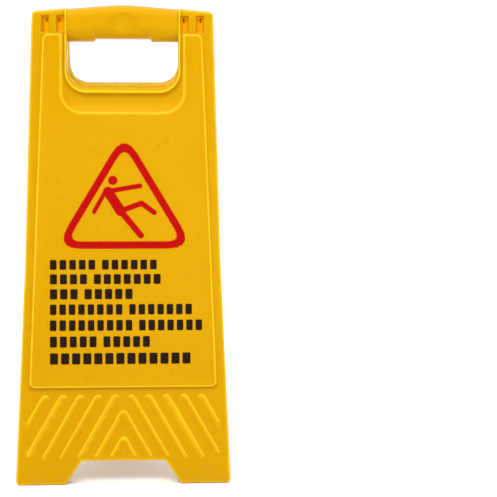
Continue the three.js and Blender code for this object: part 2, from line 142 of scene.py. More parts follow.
def distance_to(points, loop):
    """Distance from each point to a closed loop, positive inside it."""
    a = loop
    b = np.roll(loop, -1, axis=0)
    edge = b - a
    length2 = (edge ** 2).sum(1) + 1e-12
    best = np.full(len(points), 1e9)
    inside = np.zeros(len(points), bool)
    for (ax, ay), (bx, by), (ex, ey), l2 in zip(a, b, edge, length2):
        dx, dy = points[:, 0] - ax, points[:, 1] - ay
        along = np.clip((dx * ex + dy * ey) / l2, 0, 1)
        best = np.minimum(best, (dx - along * ex) ** 2 + (dy - along * ey) ** 2)
        crosses = (ay > points[:, 1]) != (by > points[:, 1])
        if ay != by:
            at = ax + (points[:, 1] - ay) * ex / ey
            inside ^= crosses & (points[:, 0] < at)
    return np.where(inside, 1, -1) * np.sqrt(best)


def smooth(value, low, high):
    """0 below low and 1 above high, with an easy rise between."""
    s = np.clip((value - low) / (high - low), 0, 1)
    return s * s * (3 - 2 * s)


def bead(distance, width):
    """A soft ridge, 1 on the line and gone three widths away."""
    return np.exp(-((distance / width) ** 2))


def mirrored(right):
    """Corners of the right half, followed by the same corners on the left."""
    return list(right) + [(-x, h, r) for x, h, r in reversed(right)]


def shell_corners():
    """The moulding's outline: the grip's space and the hand opening are one deep bay in its top."""
    shoulder = LENGTH - GABLE * TOP_HALF
    bay_top = LENGTH - GABLE * OPENING_HALF
    return mirrored([
        (NOTCH_TOP, NOTCH_H, 6), (NOTCH_FOOT, 0, 4), (FOOT_HALF, 0, 5),
        (WAIST_HALF, WAIST_H, 400), (TOP_HALF, shoulder, 5),
        (OPENING_HALF, bay_top, 1), (OPENING_HALF, OPENING_LOW, OPENING_RADIUS),
    ])


def outer_corners():
    """The moulding's outline with the bay filled in, for the rounded outside edge."""
    shoulder = LENGTH - GABLE * TOP_HALF
    return mirrored([
        (NOTCH_TOP, NOTCH_H, 6), (NOTCH_FOOT, 0, 4), (FOOT_HALF, 0, 5),
        (WAIST_HALF, WAIST_H, 400), (TOP_HALF, shoulder, 5),
        (20, LENGTH - GABLE * 20, 60),
    ])


def cup_corners(half, low, radius, high=640):
    """A U-shaped area that is open at the top, such as the dish or the lip."""
    return [(-half, low, radius), (half, low, radius), (half, high, 1), (-half, high, 1)]


FIELD_CORNERS = mirrored([(FIELD_LOW_HALF, FIELD_LOW, 7), (FIELD_HIGH_HALF, FIELD_HIGH, 7)])
SHELL = rounded_loop(shell_corners(), LOOP_SPACING)
OUTER = rounded_loop(outer_corners(), 4)
FIELD = rounded_loop(FIELD_CORNERS, LOOP_SPACING)
DISH = rounded_loop(cup_corners(DISH_HALF, DISH_LOW, DISH_RADIUS + 2), LOOP_SPACING)
LIP = rounded_loop(cup_corners(LIP_HALF, LIP_LOW, LIP_RADIUS), LOOP_SPACING)
OPENING = rounded_loop(cup_corners(OPENING_HALF, OPENING_LOW, OPENING_RADIUS), LOOP_SPACING)


def pocket_boxes():
    """Each hinge pocket's x range, and the middle of the ear behind it."""
    ears = (-KNUCKLE_X - NARROW, -KNUCKLE_X + NARROW, KNUCKLE_X - WIDE, KNUCKLE_X + WIDE)
    pairs = [(side, half) for side in (-1, 1) for half in (-1, 1)]
    for (side, half), ear in zip(pairs, ears):
        a = side * KNUCKLE_X + half * POCKET_NEAR
        b = side * KNUCKLE_X + half * POCKET_FAR
        yield min(a, b), max(a, b), ear


def box_loop(x0, x1, h0, h1, radius, spacing):
    return rounded_loop([(x0, h0, radius), (x1, h0, radius), (x1, h1, radius), (x0, h1, radius)], spacing)


def pocket_loops(margin):
    """Outlines of the four hinge pockets, enlarged by a margin."""
    return [
        box_loop(a - margin, b + margin, POCKET_LOW - margin, POCKET_HIGH + margin, POCKET_CORNER, 1.6)
        for a, b, _ in pocket_boxes()
    ]


POCKETS = pocket_loops(0)
POCKET_BACKS = pocket_loops(POCKET_SKIN)


def rib_axes():
    """Each rib's top point and the point past the zone's bottom that it runs to."""
    fall = RIB_TOP - RIB_ZONE_LOW + 30
    for side in (-1, 1):
        starts = [(side * RIB_PITCH * (i + 0.45), RIB_TOP) for i in range(5)]
        starts += [(0, h) for h in CHEVRON_TOPS]
        for x, h in starts:
            yield (x, h), (x + side * fall * RIB_RUN, h - fall)


def rib_relief(points):
    """Height of the ribs, and how strongly their lit upper edges show.

    Each rib is like a louvre: highest along its upper edge and round its top end, and
    falling away to nothing at its lower edge.
    """
    height = np.zeros(len(points))
    edge = np.zeros(len(points))
    zone = np.minimum(RIB_ZONE_HALF - np.abs(points[:, 0]), points[:, 1] - RIB_ZONE_LOW)
    for (ax, ay), (bx, by) in rib_axes():
        length = math.hypot(bx - ax, by - ay)
        ex, ey = (bx - ax) / length, (by - ay) / length
        upper_x, upper_y = (-ey, ex) if ex > 0 else (ey, -ex)
        dx, dy = points[:, 0] - ax, points[:, 1] - ay
        along = dx * ex + dy * ey
        across = dx * upper_x + dy * upper_y
        beyond = np.maximum(-along, 0)
        inside = np.minimum(RIB_HALF - np.hypot(across, beyond), zone)
        upness = np.clip((across + beyond) / RIB_HALF, -1, 1) * 0.5 + 0.5
        height = np.maximum(height, upness * smooth(inside, -1.0, 1.3))
        edge = np.maximum(edge, upness ** 2 * bead(inside - 0.2, 0.9))
    return RIB_RAISE * height, edge


# ---- the moulded face -------------------------------------------------------


def edge_drop(distance, radius):
    """How far a rounded edge has fallen, this far inside it."""
    d = np.clip(distance, 0, radius)
    return radius - np.sqrt(np.maximum(radius ** 2 - (radius - d) ** 2, 0))


def sheet_depth(points):
    """t of the moulded sheet with its field and dish, before the ribs, lip and rounded edges."""
    field = distance_to(points, FIELD)
    dish = distance_to(points, DISH)
    lip = distance_to(points, LIP)
    raised = 1 - edge_drop(field + 0.5, FIELD_ROUND) / FIELD_ROUND
    rim = np.where(dish < 0, bead(dish, RIM_BELOW), bead(dish, RIM_WITHIN))
    crest = FIELD_BEAD * bead(field - FIELD_BEAD_INSET, FIELD_BEAD_WIDTH) + RIM_RAISE * rim
    width = np.maximum(dish, 0) + np.maximum(-lip, 0)
    across = np.where(dish > 0, dish / np.maximum(width, 1e-6), 0)
    across = np.where(lip > 0, 1, across)
    reach = np.where(lip > 0, 5.0, width)
    deep = DISH_DEPTH * (1 - np.exp(-reach / DISH_REACH))
    fall = deep * np.sin(np.clip(across, 0, 1) * math.pi / 2) ** DISH_EASE
    above = smooth(points[:, 1], FIELD_HIGH - 2, FIELD_HIGH + 6)
    fall = fall * (1 - above)
    return DEPTH + raised * (FIELD_RAISE + crest - fall * (dish > 0))


def front_depth(points):
    """t of the finished front face."""
    t = sheet_depth(points)
    lip = distance_to(points, LIP)
    opening = distance_to(points, OPENING)
    outer = distance_to(points, OUTER)
    width = np.maximum(lip, 0) + np.maximum(-opening, 0)
    across = np.clip(np.maximum(lip, 0) / np.maximum(width, 1e-6), 0, 1)
    roll = np.clip(width * ROLL_SHARE, ROLL_LEAST, ROLL_MOST)
    fade = smooth(points[:, 1], LIP_FADE_FROM, LIP_FADE_TO)
    crown = DEPTH + LIP_RAISE * (1 - fade) + LIP_CROWN
    rolled = crown - roll * (1 - np.sqrt(np.maximum(1 - across ** 2.2, 0)))
    rise = smooth(lip, -0.9, 0.7)
    t = t * (1 - rise) + rolled * rise
    t = t + rib_relief(points)[0]
    for loop in POCKETS:
        near = -distance_to(points, loop)
        t = t - edge_drop(near + 0.05, POCKET_ROUND) * (near < POCKET_ROUND)
    toward_top = smooth(points[:, 1], TOP_ROUND_FROM, TOP_ROUND_FULL)
    round_off = SIDE_ROUND + (TOP_ROUND - SIDE_ROUND) * toward_top
    return t - edge_drop(outer, round_off)


def wear_and_painted_highlight(coords):
    """How much lighter the colour is made along the raised edges of the face: partly edge wear, mostly
    painted highlight where light catches the edges.
    """
    points = coords[:, :2]
    field = distance_to(points, FIELD)
    dish = distance_to(points, DISH)
    lip = distance_to(points, LIP)
    outer = distance_to(points, OUTER)
    low = points[:, 1] < FIELD_HIGH - 1
    wear = 0.75 * bead(field - 1.3, 0.9) * (dish < 0)
    wear = np.maximum(wear, 0.55 * bead(dish - 0.2, 1.3) * low * (field > 0))
    wear = np.maximum(wear, 0.8 * bead(lip - 1.1, 1.0))
    wear = np.maximum(wear, 0.8 * rib_relief(points)[1])
    wear = np.maximum(wear, 0.5 * bead(outer - 1.2, 1.2))
    # Painted light: the back rim of the bay, in shade behind the hand opening, is given the lighter
    # colour too.
    bay_rim = (np.abs(points[:, 0]) < OPENING_HALF + WALL + 1) & (points[:, 1] > OPENING_LOW - WALL - 1)
    return np.where(coords[:, 2] > DEPTH - TOP_ROUND, wear, bay_rim & (coords[:, 2] < 2))


def painted_pocket_bounce(coords):
    """Painted bounce light: one on the walls and floors of the hinge pockets, where light only comes off
    the plastic, so the colour there is made a brighter orange.
    """
    inside = np.max([distance_to(coords[:, :2], pocket) for pocket in POCKETS], axis=0)
    return ((inside > 0.25) & (coords[:, 2] < DEPTH - TOP_ROUND)).astype(float)


def painted_groove_shade(coords):
    """Painted shade: how much darker the colour is made in the creases beside the lip and under the
    field, where shade falls.
    """
    points = coords[:, :2]
    beside_lip = 0.45 * bead(distance_to(points, LIP) + 1.7, 1.4)
    below = points[:, 1] < FIELD_LOW + 4
    under_field = 0.7 * bead(distance_to(points, FIELD) + 1.0, 0.9) * below
    shade = np.maximum(beside_lip, under_field)
    return np.where(coords[:, 2] > DEPTH - TOP_ROUND, shade, 0)


def offset_rows(loop, offsets):
    """Copies of a loop's points moved inward along its own normals."""
    ahead = np.roll(loop, -1, axis=0) - np.roll(loop, 1, axis=0)
    ahead /= np.linalg.norm(ahead, axis=1)[:, None] + 1e-9
    inward = np.stack([-ahead[:, 1], ahead[:, 0]], 1)
    return [loop + inward * d for d in offsets]


def rib_outlines():
    """Each rib's two sides and round top, as points for the mesh to follow."""
    for (ax, ay), (bx, by) in rib_axes():
        along = Vector((bx - ax, by - ay))
        length = along.length
        along.normalize()
        side = Vector((-along.y, along.x))
        loop = []
        for k in range(int(length / 2.4)):
            loop.append(Vector((ax, ay)) + along * (2.4 * k) + side * RIB_HALF)
        for k in range(1, 8):
            turn = Matrix.Rotation(math.pi * k / 8, 2)
            loop.insert(0, Vector((ax, ay)) + turn @ (side * RIB_HALF))
        for k in range(int(length / 2.4)):
            loop.insert(0, Vector((ax, ay)) + along * (2.4 * k) - side * RIB_HALF)
        yield np.array([(p.x, p.y) for p in loop])


def shell_points():
    """Boundary loops first, then rows along each feature, then an even filling."""
    inner = rounded_loop(shell_corners(), LOOP_SPACING, WALL)
    loops = [SHELL, inner] + POCKETS + POCKET_BACKS
    rows = offset_rows(SHELL, [0.12, 0.45, 1.0, 1.7, 3.4, 4.6, 6.0])
    for pocket in POCKETS:
        rows += offset_rows(pocket, [-0.35, -1.5, -3.0])
    rows += offset_rows(LIP, [-1.4, -0.9, -0.4, 0.1, 0.7, 1.4])
    rows += offset_rows(DISH, [0, -0.9, 0.9, -2, 1.8, 2.8, -3.4, 4.2, -5, -7, -9.5])
    rows += offset_rows(FIELD, [-1.1, -0.5, -0.2, 0.2, 0.7, 1.3, 2.0, 2.8, 3.8, 5.2])
    for outline in rib_outlines():
        rows += offset_rows(outline, [-1.0, -0.5, 0, 0.6, 1.3, 2.2])
    xs = np.arange(-FOOT_HALF, FOOT_HALF, GRID_STEP)
    hs = np.arange(2, LENGTH, GRID_STEP * 0.866)
    grid = np.array([(x + GRID_STEP / 2 * (j % 2), h) for j, h in enumerate(hs) for x in xs])
    return loops, rows, grid


class Sieve:
    """Keeps points that aren't too close to the ones it already holds."""

    CELL = 3

    def __init__(self):
        self.points = []
        self.cells = {}

    def offer(self, point, spacing):
        point = (float(point[0]), float(point[1]))
        column, row = int(point[0] // self.CELL), int(point[1] // self.CELL)
        for i in (column - 1, column, column + 1):
            for j in (row - 1, row, row + 1):
                for x, h in self.cells.get((i, j), ()):
                    if (x - point[0]) ** 2 + (h - point[1]) ** 2 < spacing ** 2:
                        return
        self.cells.setdefault((column, row), []).append(point)
        self.points.append(point)


def kept_points(loops, rows, grid):
    """Drops points outside the moulding and points that crowd earlier ones."""
    candidates = np.concatenate(rows)
    inside = distance_to(candidates, SHELL) > 0.05
    for pocket in POCKETS:
        inside &= distance_to(candidates, pocket) < -0.2
    candidates = candidates[inside]
    zone = (np.abs(candidates[:, 0]) < RIB_ZONE_HALF + 1) & (candidates[:, 1] > RIB_ZONE_LOW - 1)
    low = candidates[:, 1] < FIELD_LOW - 6
    candidates = candidates[~low | zone | (distance_to(candidates, SHELL) < 7)]
    filling = grid[distance_to(grid, SHELL) > 5.5]
    for pocket in POCKETS:
        filling = filling[distance_to(filling, pocket) < -3.8]
    sieve = Sieve()
    for point in np.concatenate(loops):
        sieve.offer(point, 0)
    for point in candidates:
        sieve.offer(point, 0.3)
    for point in filling:
        sieve.offer(point, 2.4)
    return sieve.points


def triangulated_shell():
    """Points and triangles of the whole moulding seen from the front, and the edge loops in it."""
    loops, rows, grid = shell_points()
    points = kept_points(loops, rows, grid)
    edges, starts, at = [], [], 0
    for loop in loops:
        n = len(loop)
        edges += [(at + k, at + (k + 1) % n) for k in range(n)]
        starts.append((at, n))
        at += n
    out_points, _, out_faces, origins, _, _ = delaunay_2d_cdt(
        [Vector(p) for p in points], edges, [], 0, 1e-5)
    where = {}
    for new, olds in enumerate(origins):
        for old in olds:
            where[old] = new
    index_loops = [[where[s + k] for k in range(n)] for s, n in starts]
    return np.array([(p.x, p.y) for p in out_points]), out_faces, index_loops


def back_depth(h):
    """t of the rim that meets the other panel: level up to the hinge, sloping above it."""
    return GAP + np.maximum(h - HINGE_H, 0) * SLANT


def to_place(x, h, t, rear):
    """Millimetres on an upright panel to metres where the open sign stands, its soles cut level."""
    x, h, t = np.asarray(x, float), np.asarray(h, float), np.asarray(t, float)
    sole = np.clip(1 - h / NOTCH_H, 0, 1) * np.clip(DEPTH - t, 0, DEPTH) * SLANT
    z = h + sole - HINGE_H
    y = -t
    c, s = math.cos(OPEN_ANGLE), -math.sin(OPEN_ANGLE)
    out = np.stack([x, y * c - z * s, y * s + z * c + HINGE_Z], -1) / 1000
    return out * (-1, -1, 1) if rear else out


def turns_left(points, face):
    """Whether a flat face goes anticlockwise."""
    a, b, c = (points[i] for i in face[:3])
    return (b[0] - a[0]) * (c[1] - a[1]) - (b[1] - a[1]) * (c[0] - a[0]) > 0


def band(lower, upper):
    """Quads joining two rings of equal length, wound from the lower ring to the upper one."""
    count = len(lower)
    return [[lower[k], lower[(k + 1) % count], upper[(k + 1) % count], upper[k]] for k in range(count)]


def plate_with_slot(outline, slot):
    """Triangles between an outline and the slot in it, as indices into outline then slot."""
    n, m = len(outline), len(slot)
    edges = [(k, (k + 1) % n) for k in range(n)] + [(n + k, n + (k + 1) % m) for k in range(m)]
    flat = np.concatenate([outline, slot])
    points, _, faces, origins, _, _ = delaunay_2d_cdt([Vector(p) for p in flat], edges, [], 0, 1e-6)
    old = [sources[0] for sources in origins]
    faces = [[old[i] for i in face] for face in faces]
    middle = np.array([flat[face].mean(0) for face in faces])
    keep = (distance_to(middle, outline) > 0) & (distance_to(middle, slot) < 0)
    return [f if turns_left(flat, f) else f[::-1] for f, kept in zip(faces, keep) if kept]


def pocket_faces(verts, start, back_start, pocket, back, far, ear):
    """Walls, floor and slot of one hinge pocket, closing the holes in the front and back sheets."""
    centre = pocket.mean(0)
    half = (np.ptp(pocket, axis=0)) / 2
    outward = np.sign(far)
    near = far - outward * 2 * half[0]
    lean = INNER_LEAN
    if abs(centre[0]) > KNUCKLE_X:
        lean = max(abs(far) - abs(ear) - EAR_CLEARANCE, OUTER_LEAN)
    faces = []

    def ring(coords, t):
        """Adds a ring of vertices and returns their numbers."""
        first = sum(len(v) for v in verts)
        verts.append(np.column_stack([coords, np.full(len(coords), t)]))
        return list(range(first, first + len(coords)))

    def inward(share, inset):
        """The pocket's outline, drawn in and leaning with the outer wall."""
        shape = centre + (pocket - centre) * (1 - inset / half)
        along = np.clip((shape[:, 0] - near) * outward / (2 * half[0]), 0, 1)
        shape[:, 0] -= outward * lean * share * along
        return shape

    rings = [start]
    rings += [ring(inward(share, inset), t) for share, inset, t in POCKET_STEPS]
    floor = inward(1, FLOOR_INSET)
    rings.append(ring(floor, POCKET_FLOOR))
    for upper, lower in zip(rings, rings[1:]):
        faces += band(upper, lower)
    slot = box_loop(ear - SLOT_HALF, ear + SLOT_HALF, HINGE_H - SLOT_HALF_HEIGHT,
                    HINGE_H + SLOT_HALF_HEIGHT, 0.5, 1.0)
    slot_front, slot_back = ring(slot, POCKET_FLOOR), ring(slot, POCKET_BACK)
    numbers = rings[-1] + slot_front
    faces += [[numbers[i] for i in f] for f in plate_with_slot(floor, slot)]
    faces += band(slot_front, slot_back)
    back_ring = ring(back, POCKET_BACK)
    faces += [f[::-1] for f in band(back_start, back_ring)]
    numbers = back_ring + slot_back
    faces += [[numbers[i] for i in reversed(f)] for f in plate_with_slot(back, slot)]
    return faces


def shell_mesh():
    """Vertices (x, h, t) and faces of the hollow moulding, closed all round."""
    points, faces, loops = triangulated_shell()
    outline, inset = loops[:2]
    pockets, pocket_backs = loops[2:2 + len(POCKETS)], loops[2 + len(POCKETS):]
    middle = np.array([points[list(f)].mean(0) for f in faces])
    keep = distance_to(middle, SHELL) > 0
    inner = distance_to(middle, points[inset]) > 0
    for pocket, back in zip(POCKETS, POCKET_BACKS):
        keep &= distance_to(middle, pocket) < 0
        inner &= distance_to(middle, back) < 0
    inner &= keep
    n = len(points)
    verts = [
        np.column_stack([points, front_depth(points)]),
        np.column_stack([points, sheet_depth(points) - WALL]),
        np.column_stack([points[outline], back_depth(points[outline][:, 1])]),
        np.column_stack([points[inset], back_depth(points[inset][:, 1])]),
    ]
    outer_rim = list(range(2 * n, 2 * n + len(outline)))
    inner_rim = list(range(2 * n + len(outline), 2 * n + len(outline) + len(inset)))
    out = []
    for face, kept, under in zip(faces, keep, inner):
        face = list(face) if turns_left(points, face) else list(face)[::-1]
        if kept:
            out.append(face)
        if under:
            out.append([i + n for i in reversed(face)])
    inner_edge = [i + n for i in inset]
    out += [f[::-1] for f in band(outline, outer_rim)]
    out += [f[::-1] for f in band(outer_rim, inner_rim)]
    out += [f[::-1] for f in band(inner_rim, inner_edge)]
    for (a, b, ear), pocket, back in zip(pocket_boxes(), pockets, pocket_backs):
        far = max(a, b, key=abs)
        back_ring = [i + n for i in back]
        out += pocket_faces(verts, pocket, back_ring, points[pocket], points[back], far, ear)
    verts = np.concatenate(verts)
    used = np.zeros(len(verts), bool)
    used[[i for f in out for i in f]] = True
    renumber = np.cumsum(used) - 1
    return verts[used], [[int(renumber[i]) for i in f] for f in out]


def add_piece(name, coords, faces, material, body, smooth_faces=True):
    """Makes one visible mesh that moves with a body of the model."""
    mesh = bpy.data.meshes.new(name)
    mesh.from_pydata([tuple(c) for c in coords], [], faces)
    mesh.validate()
    mesh.update()
    if smooth_faces:
        mesh.polygons.foreach_set("use_smooth", [True] * len(mesh.polygons))
    mesh.materials.append(material)
    piece = bpy.data.objects.new(name, mesh)
    bpy.context.scene.collection.objects.link(piece)
    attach(piece, body)
    return piece


# ---- grip bar ---------------------------------------------------------------


def grip_mesh():
    """The bulging bar over the hand opening: a curved wall closed by its two ends."""
    columns, around = 150, 48
    fraction = np.linspace(-1, 1, columns + 1)
    xs = GRIP_END * np.sign(fraction) * (1 - (1 - np.abs(fraction)) ** 1.15)
    verts = []

    def ring(x, inset):
        top = LENGTH - GABLE * math.sqrt(x * x + 15 ** 2)
        rise = smooth(np.array(RELIEF_HALF - abs(x)), -1.0, 2.5)
        low = GRIP_LOW + RELIEF * float(rise)
        middle, half = (top + low) / 2, (top - low) / 2 - inset
        end_drop = float(edge_drop(np.array(GRIP_END - abs(x)), 1.6)) if inset == 0 else 0
        row = []
        for k in range(around + 1):
            angle = -math.pi / 2 + math.pi * k / around
            fullness = GRIP_TOP_FULLNESS if angle > 0 else GRIP_LOW_FULLNESS
            out = max(math.cos(angle), 0) ** (2 / fullness)
            t = (GRIP_DEPTH - inset - end_drop) * out
            h = middle + half * math.copysign(abs(math.sin(angle)) ** (2 / fullness), angle)
            reach = 1 - (x / THUMB_X) ** 2 - ((h - THUMB_H) / THUMB_Z) ** 2
            dip = THUMB_DEEP * float(smooth(np.array(reach), -0.25, 0.9))
            stop = float(back_depth(h))
            row.append((x, h, max(t - dip * out, stop)))
        return row

    for x in xs:
        verts += ring(x, 0)
    for x in xs * (1 - WALL / GRIP_END):
        verts += ring(x, WALL)
    width = around + 1
    inner = (columns + 1) * width
    faces = []
    for i in range(columns):
        for k in range(around):
            a, b = i * width + k, (i + 1) * width + k
            faces.append([a, b, b + 1, a + 1])
            faces.append([inner + a + 1, inner + b + 1, inner + b, inner + a])
        low_a, low_b = i * width, (i + 1) * width
        faces.append([low_b, low_a, inner + low_a, inner + low_b])
        top_a, top_b = low_a + around, low_b + around
        faces.append([top_a, top_b, inner + top_b, inner + top_a])
    near_end = list(range(width))
    far_end = list(range(columns * width, (columns + 1) * width))
    for end, flip in ((near_end, False), (far_end, True)):
        inside = [inner + i for i in end]
        strip = [end[0], end[-1], inside[-1], inside[0]]
        for face in (end, inside[::-1], strip):
            faces.append(face[::-1] if flip else face)
    return np.array(verts), faces


# ---- hinge ------------------------------------------------------------------


def ear_profile():
    """The ear seen from the side, as (t, h), round about the hinge axis, and its pin hole."""
    front = POCKET_FLOOR - 1
    slot = SLOT_HALF_HEIGHT + 0.2
    line = [
        (3, HINGE_H - 14), (DEPTH - 1, POCKET_LOW - 20), (DEPTH + 1.2, POCKET_LOW - 20),
        (DEPTH + 1.2, FIELD_HIGH - 2), (DEPTH - 1, FIELD_HIGH), (DEPTH - 1, POCKET_LOW - 0.6),
        (front, POCKET_LOW), (front, HINGE_H - slot), (front - 3, HINGE_H - slot),
        (front - 3, HINGE_H + slot), (front, HINGE_H + slot), (front, POCKET_HIGH),
        (DEPTH - 1, POCKET_HIGH + 0.6), (DEPTH - 1, HINGE_H + 7.5), (5, HINGE_H + 10.5),
    ]
    for k in range(25):
        angle = math.pi * (0.35 + 0.9 * k / 24)
        line.append((EAR_RADIUS * math.cos(angle), HINGE_H + EAR_RADIUS * math.sin(angle)))
    hole = [
        (PIN_HOLE * math.cos(2 * math.pi * k / 28), HINGE_H + PIN_HOLE * math.sin(2 * math.pi * k / 28))
        for k in range(28)
    ]
    return line, hole


def ears_mesh():
    """Four flat ears, each with the pin's hole through it."""
    line, hole = ear_profile()
    count, ring = len(line), len(hole)
    edges = [(k, (k + 1) % count) for k in range(count)]
    edges += [(count + k, count + (k + 1) % ring) for k in range(ring)]
    flat, _, tris, origins, _, _ = delaunay_2d_cdt(
        [Vector(p) for p in line + hole], edges, [], 0, 1e-6)
    flat = np.array([(p.x, p.y) for p in flat])
    where = {old: new for new, olds in enumerate(origins) for old in olds}
    middle = np.array([flat[list(f)].mean(0) for f in tris])
    keep = (distance_to(middle, np.array(line)) > 0) & (distance_to(middle, np.array(hole)) < 0)
    verts, faces = [], []
    for centre in (-KNUCKLE_X - NARROW, -KNUCKLE_X + NARROW, KNUCKLE_X - WIDE, KNUCKLE_X + WIDE):
        for x in (centre - EAR_THICK / 2, centre + EAR_THICK / 2):
            start = len(verts)
            verts += [(x, h, t) for t, h in flat]
            for face, kept in zip(tris, keep):
                if not kept:
                    continue
                (ta, ha), (tb, hb), (tc, hc) = (flat[i] for i in face[:3])
                turn = (tb - ta) * (hc - ha) - (hb - ha) * (tc - ta) > 0
                order = list(face) if turn == (x > centre) else list(face)[::-1]
                faces.append([start + i for i in order])
        low, high = start - len(flat), start
        for k in range(count):
            a, b = where[k], where[(k + 1) % count]
            faces.append([low + a, low + b, high + b, high + a])
        for k in range(ring):
            a, b = where[count + k], where[count + (k + 1) % ring]
            faces.append([low + b, low + a, high + a, high + b])
    return np.array(verts), faces


# ---- message ----------------------------------------------------------------


def message_mesh(index):
    """One line of the message as plain blocks, grouped like words: it spells nothing."""
    right, words = MESSAGE_RIGHT[index], MESSAGE_WORDS[index]
    top = MESSAGE_TOP - index * (MESSAGE_PITCH + PITCH_GROWTH * (index - 1) / 2)
    height = MESSAGE_HEIGHT + index * HEIGHT_GROWTH
    gaps = WORD_GAP * (len(words) - 1)
    pitch = (right - MESSAGE_LEFT - gaps + MARK_GAP) / sum(words)
    verts, faces = [], []
    x = MESSAGE_LEFT
    for word in words:
        for _ in range(word):
            loop = box_loop(x, x + pitch - MARK_GAP, top - height, top, 1.6, 1.5)
            count, start = len(loop), len(verts)
            for t in (INK_BACK, INK_FRONT):
                verts += [(px, ph, t) for px, ph in loop]
            back = list(range(start, start + count))
            front = list(range(start + count, start + 2 * count))
            faces += [front, back[::-1]] + band(back, front)
            x += pitch
        x += WORD_GAP
    return np.array(verts), faces


# ---- materials --------------------------------------------------------------


class Graph:
    """Short calls for building one material's nodes."""

    def __init__(self, name):
        self.material = bpy.data.materials.new(name)
        self.material.use_nodes = True
        self.tree = self.material.node_tree
        self.shader = self.tree.nodes["Principled BSDF"]
        coords = self.tree.nodes.new("ShaderNodeTexCoord")
        self.place = coords.outputs["Object"]

    def link(self, a, b):
        self.tree.links.new(a, b)

    def mapped(self, scale):
        node = self.tree.nodes.new("ShaderNodeMapping")
        node.inputs["Scale"].default_value = scale
        self.link(self.place, node.inputs["Vector"])
        return node.outputs["Vector"]

    def noise(self, scale, detail=3, roughness=0.5, stretch=(1, 1, 1)):
        node = self.tree.nodes.new("ShaderNodeTexNoise")
        node.inputs["Scale"].default_value = scale
        node.inputs["Detail"].default_value = detail
        node.inputs["Roughness"].default_value = roughness
        self.link(self.mapped(stretch), node.inputs["Vector"])
        return node.outputs["Fac"]

    def painted(self, name):
        """A value stored at the mesh's points."""
        node = self.tree.nodes.new("ShaderNodeAttribute")
        node.attribute_name = name
        return node.outputs["Fac"]

    def ramp(self, value, stops):
        node = self.tree.nodes.new("ShaderNodeValToRGB")
        for element, (at, colour) in zip(node.color_ramp.elements, stops):
            element.position = at
            element.color = (*colour, 1)
        self.link(value, node.inputs["Fac"])
        return node.outputs["Color"]

    def span(self, value, low, high, to_low, to_high):
        node = self.tree.nodes.new("ShaderNodeMapRange")
        for key, number in (("From Min", low), ("From Max", high),
                            ("To Min", to_low), ("To Max", to_high)):
            node.inputs[key].default_value = number
        self.link(value, node.inputs["Value"])
        return node.outputs["Result"]

    def math(self, operation, a, b):
        node = self.tree.nodes.new("ShaderNodeMath")
        node.operation = operation
        for value, socket in ((a, node.inputs[0]), (b, node.inputs[1])):
            if isinstance(value, (int, float)):
                socket.default_value = value
            else:
                self.link(value, socket)
        return node.outputs[0]

    def mix(self, factor, a, b):
        node = self.tree.nodes.new("ShaderNodeMix")
        node.data_type = "RGBA"
        self.link(factor, node.inputs["Factor"])
        for value, socket in ((a, node.inputs[6]), (b, node.inputs[7])):
            if isinstance(value, tuple):
                socket.default_value = (*value, 1)
            else:
                self.link(value, socket)
        return node.outputs[2]

    def bump(self, height, distance, strength):
        node = self.tree.nodes.new("ShaderNodeBump")
        node.inputs["Strength"].default_value = strength
        node.inputs["Distance"].default_value = distance
        self.link(height, node.inputs["Height"])
        return node.outputs["Normal"]


YELLOW_DEEP, YELLOW_LIGHT = (0.480, 0.243, 0.0005), (0.496, 0.253, 0.0007)
# The second colour on the next line is partly edge wear and mostly painted highlight.
YELLOW_SCRATCHED, YELLOW_WORN_AND_HIGHLIGHTED = (0.62, 0.34, 0.01), (0.92, 0.60, 0.02)
# Crease colour: painted shade. Pocket colour: painted bounce light.
YELLOW_CREASE_SHADE, YELLOW_POCKET_BOUNCE = (0.34, 0.135, 0.0004), (0.86, 0.35, 0.001)
SOIL = (0.42, 0.24, 0.03)


